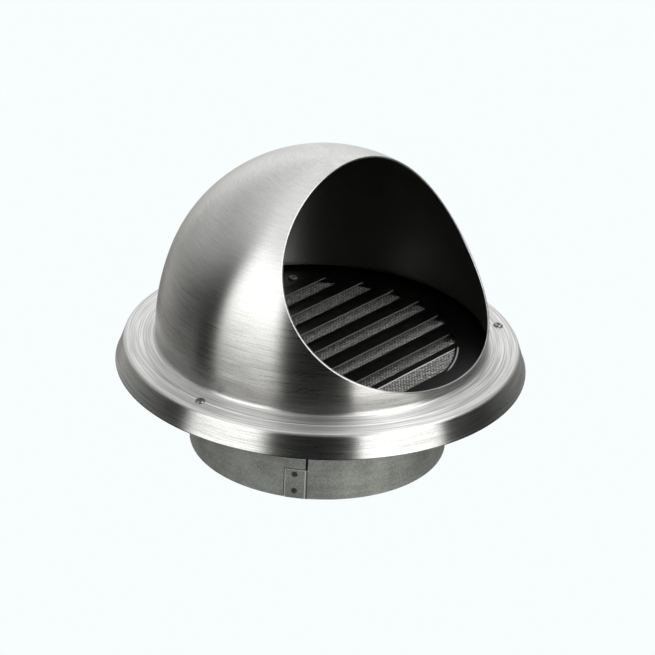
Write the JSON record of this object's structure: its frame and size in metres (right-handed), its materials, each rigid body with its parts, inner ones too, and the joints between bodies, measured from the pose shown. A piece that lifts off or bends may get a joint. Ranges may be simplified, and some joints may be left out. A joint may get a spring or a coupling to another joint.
{
  "type": "hooded round vent grille",
  "caption": "Round wall vent: spun steel hood with an open mouth and flange over a louvred, meshed grille, on a rolled collar that pushes into a duct.",
  "frame": {"origin": "centre of the collar's free end, which is the bottom of the part as it stands", "axes": "+Z along the duct axis from the collar to the crown of the hood, the mouth faces -Y"},
  "size_m": [0.1552, 0.1552, 0.1166],
  "materials": {
    "brushed_hood": "stainless sheet brushed round the axis",
    "dark_plate": "dark smooth pressed sheet",
    "wire_mesh": "woven wire",
    "dull_collar": "dull mill sheet",
    "rivet_steel": "plain steel"
  },
  "bodies": {
    "root": {"hood": "brushed_hood", "louvre_plate": "dark_plate", "insect_mesh": "wire_mesh", "collar": "dull_collar", "hood_rivets": "rivet_steel", "plate_rivets": "rivet_steel", "seam_rivets": "rivet_steel"}
  },
  "joints": []
}
